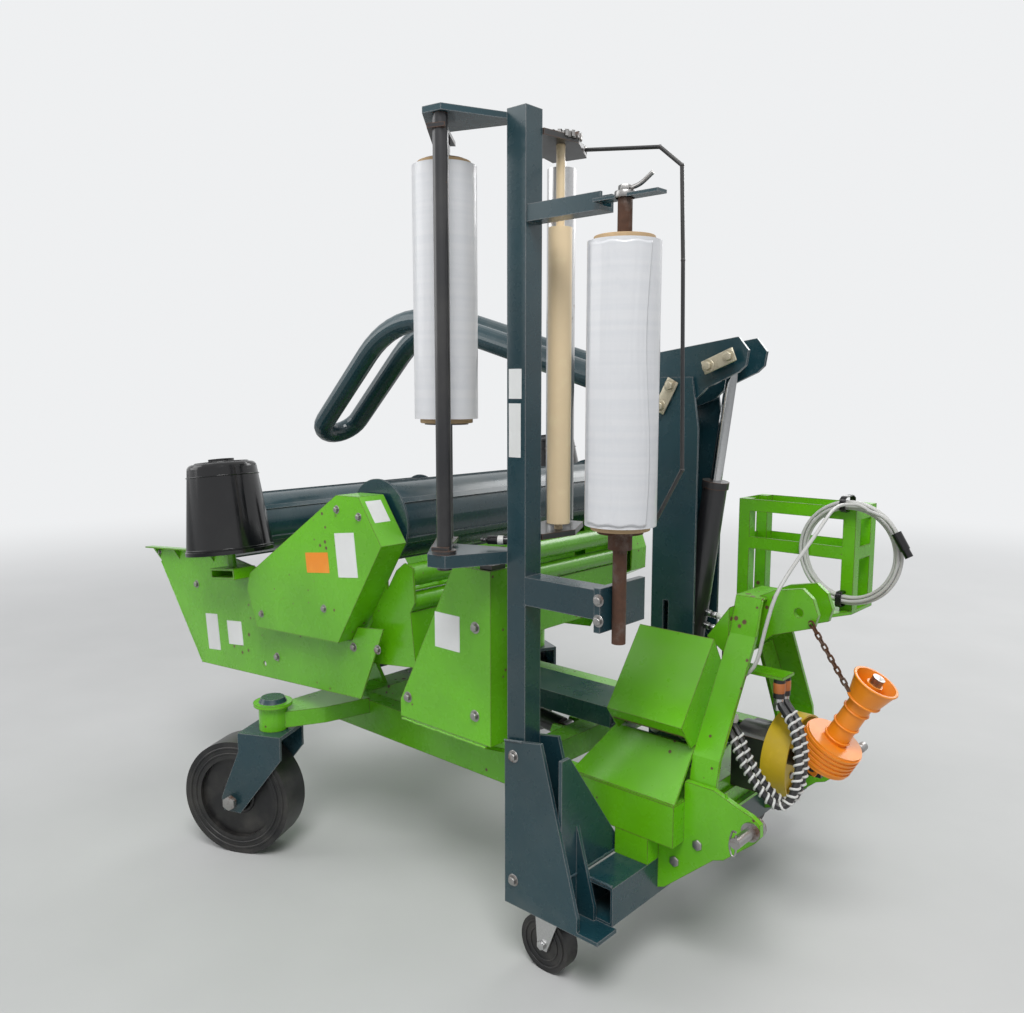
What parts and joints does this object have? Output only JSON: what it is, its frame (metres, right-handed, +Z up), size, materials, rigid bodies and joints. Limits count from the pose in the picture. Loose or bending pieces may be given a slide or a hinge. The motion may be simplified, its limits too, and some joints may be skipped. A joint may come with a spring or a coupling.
{
  "type": "bale wrapper",
  "caption": "Three-point-mounted turntable bale wrapper with film mast, loop loading arm, bale rollers, guide cones and parking casters.",
  "frame": {"origin": "centre of the footprint on the floor", "axes": "+Z up, +X towards the tractor, +Y to the machine's left"},
  "size_m": [2.1454, 1.3448, 1.746],
  "materials": {
    "lime_paint": "gloss lime green enamel, worn and dusty",
    "teal_paint": "satin dark teal enamel",
    "bare_steel": "bare steel with light rust",
    "rusty_steel": "rusty steel rod and chain",
    "chrome": "polished chrome rod",
    "black_paint": "black paint, scuffed",
    "black_plastic": "moulded black plastic",
    "hose_rubber": "black hydraulic hose with pale spiral wrap",
    "grey_cable": "light grey cable sheath",
    "wheel_rubber": "solid black rubber",
    "white_film": "white stretch film on a card core",
    "cream_plastic": "cream plastic roller",
    "orange_plastic": "orange plastic shaft guard",
    "mustard_plastic": "mustard plastic guard"
  },
  "bodies": {
    "chassis": {"main_frame": "lime_paint", "caster_arms": "lime_paint", "hitch_plates": "lime_paint", "hitch_pins": "bare_steel", "headstock": "lime_paint", "valve_hood": "lime_paint", "front_lid": "lime_paint", "cutter_tower": "lime_paint", "film_holder": "black_paint", "gearbox": "lime_paint", "pto_guard": "mustard_plastic", "lift_column": "teal_paint", "mast_base": "teal_paint", "left_base": "teal_paint", "film_mast": "teal_paint", "spare_spindle": "rusty_steel", "spare_roll": "white_film", "guard_rod": "black_paint", "rack": "lime_paint", "stretcher_frame": "black_paint", "hold_chain": "rusty_steel", "hoses": "hose_rubber", "control_cable": "grey_cable", "cable_hank": "grey_cable", "cable_plug": "black_plastic"},
    "stretch_roller": {"stretch_roller": "cream_plastic"},
    "ridge_roller": {"ridge_roller": "bare_steel"},
    "film_swing": {"film_swing": "black_paint"},
    "film_roll": {"film_roll": "white_film"},
    "right_caster": {"right_fork": "teal_paint"},
    "right_wheel": {"right_wheel": "wheel_rubber"},
    "left_caster": {"left_fork": "teal_paint"},
    "left_wheel": {"left_wheel": "wheel_rubber"},
    "right_small_caster": {"right_small_fork": "bare_steel"},
    "right_small_wheel": {"right_small_wheel": "wheel_rubber"},
    "left_small_caster": {"left_small_fork": "bare_steel"},
    "left_small_wheel": {"left_small_wheel": "wheel_rubber"},
    "tilt_frame": {"tilt_frame": "teal_paint"},
    "tilt_barrel": {"tilt_barrel": "black_paint"},
    "tilt_rod": {"tilt_rod": "chrome"},
    "turntable": {"table_frame": "lime_paint", "side_panels": "lime_paint", "chain_covers": "lime_paint"},
    "front_roller": {"front_roller": "teal_paint"},
    "rear_roller": {"rear_roller": "teal_paint"},
    "right_cone": {"right_cone": "black_plastic"},
    "left_cone": {"left_cone": "black_plastic"},
    "loop_arm": {"loop_arm": "teal_paint"},
    "lift_barrel": {"lift_barrel": "black_paint"},
    "lift_rod": {"lift_rod": "chrome"},
    "pto_shaft": {"pto_shaft": "orange_plastic"}
  },
  "joints": [
    {"name": "right_caster_swivel", "type": "hinge", "parent": "chassis", "child": "right_caster", "pos_m": [-0.32506, -0.525, 0.3], "axis": [0, 0, 1], "continuous": true},
    {"name": "right_wheel_spin", "type": "hinge", "parent": "right_caster", "child": "right_wheel", "pos_m": [-0.40775, -0.56533, 0.152], "axis": [-0.4384, 0.8988, 0], "continuous": true},
    {"name": "right_small_swivel", "type": "hinge", "parent": "chassis", "child": "right_small_caster", "pos_m": [0.55694, -0.425, 0.14], "axis": [0, 0, 1], "continuous": true},
    {"name": "right_small_wheel_spin", "type": "hinge", "parent": "right_small_caster", "child": "right_small_wheel", "pos_m": [0.53094, -0.425, 0.062], "axis": [0, 1, 0], "continuous": true},
    {"name": "left_caster_swivel", "type": "hinge", "parent": "chassis", "child": "left_caster", "pos_m": [-0.32506, 0.525, 0.3], "axis": [0, 0, 1], "continuous": true},
    {"name": "left_wheel_spin", "type": "hinge", "parent": "left_caster", "child": "left_wheel", "pos_m": [-0.40775, 0.56533, 0.152], "axis": [0.4384, 0.8988, 0], "continuous": true},
    {"name": "left_small_swivel", "type": "hinge", "parent": "chassis", "child": "left_small_caster", "pos_m": [0.55694, 0.425, 0.14], "axis": [0, 0, 1], "continuous": true},
    {"name": "left_small_wheel_spin", "type": "hinge", "parent": "left_small_caster", "child": "left_small_wheel", "pos_m": [0.53094, 0.425, 0.062], "axis": [0, 1, 0], "continuous": true},
    {"name": "table_tilt", "type": "hinge", "parent": "chassis", "child": "tilt_frame", "pos_m": [-0.39306, 0, 0.425], "axis": [0, -1, 0], "range_deg": [0, 42]},
    {"name": "tilt_barrel_swing", "type": "hinge", "parent": "chassis", "child": "tilt_barrel", "pos_m": [0.23694, 0, 0.33], "axis": [0, 1, 0], "range_deg": [0, 21.3]},
    {"name": "tilt_rod_slide", "type": "slide", "parent": "tilt_barrel", "child": "tilt_rod", "axis": [-0.9943, 0, 0.1071], "range_m": [0, 0.0767]},
    {"name": "table_spin", "type": "hinge", "parent": "tilt_frame", "child": "turntable", "pos_m": [-0.34846, 0, 0.49173], "axis": [-0.1219, 0, 0.9925], "continuous": true},
    {"name": "front_roller_spin", "type": "hinge", "parent": "turntable", "child": "front_roller", "pos_m": [-0.00994, 0, 0.90204], "axis": [0, 1, 0], "continuous": true},
    {"name": "rear_roller_spin", "type": "hinge", "parent": "turntable", "child": "rear_roller", "pos_m": [-0.77618, 0, 0.80796], "axis": [0, 1, 0], "continuous": true},
    {"name": "right_cone_spin", "type": "hinge", "parent": "turntable", "child": "right_cone", "pos_m": [-0.55683, -0.497, 0.83489], "axis": [-0.1219, 0, 0.9925], "continuous": true},
    {"name": "left_cone_spin", "type": "hinge", "parent": "turntable", "child": "left_cone", "pos_m": [-0.22929, 0.497, 0.87511], "axis": [-0.1219, 0, 0.9925], "continuous": true},
    {"name": "arm_lift", "type": "hinge", "parent": "chassis", "child": "loop_arm", "pos_m": [0.55994, 0, 1.203], "axis": [0, 1, 0], "range_deg": [0, 60]},
    {"name": "lift_barrel_swing", "type": "hinge", "parent": "chassis", "child": "lift_barrel", "pos_m": [0.60694, 0, 0.64], "axis": [0, 1, 0], "range_deg": [0, 3]},
    {"name": "lift_rod_slide", "type": "slide", "parent": "lift_barrel", "child": "lift_rod", "axis": [0.1323, 0, 0.9912], "range_m": [-0.15, 0]},
    {"name": "film_swing_turn", "type": "hinge", "parent": "chassis", "child": "film_swing", "pos_m": [0.38294, -0.579, 1.2], "axis": [0, 0, 1], "range_deg": [-15, 25]},
    {"name": "film_roll_spin", "type": "hinge", "parent": "film_swing", "child": "film_roll", "pos_m": [0.31394, -0.503, 1.4], "axis": [0, 0, 1], "continuous": true},
    {"name": "stretch_roller_spin", "type": "hinge", "parent": "chassis", "child": "stretch_roller", "pos_m": [0.48194, -0.343, 1.2], "axis": [0, 0, 1], "continuous": true},
    {"name": "ridge_roller_spin", "type": "hinge", "parent": "chassis", "child": "ridge_roller", "pos_m": [0.41894, -0.262, 1.2], "axis": [0, 0, 1], "continuous": true},
    {"name": "pto_swing", "type": "hinge", "parent": "chassis", "child": "pto_shaft", "pos_m": [0.91694, 0, 0.425], "axis": [0, 1, 0], "range_deg": [0, 60]}
  ],
  "couplings": [
    {"joint": "rear_roller_spin", "follows": "front_roller_spin", "ratio": 1},
    {"joint": "tilt_barrel_swing", "follows": "table_tilt", "ratio": 0.507},
    {"joint": "tilt_rod_slide", "follows": "table_tilt", "m_per_rad": 0.1046},
    {"joint": "lift_barrel_swing", "follows": "arm_lift", "ratio": 0.05},
    {"joint": "lift_rod_slide", "follows": "arm_lift", "m_per_rad": -0.143},
    {"joint": "ridge_roller_spin", "follows": "stretch_roller_spin", "ratio": -0.9}
  ]
}
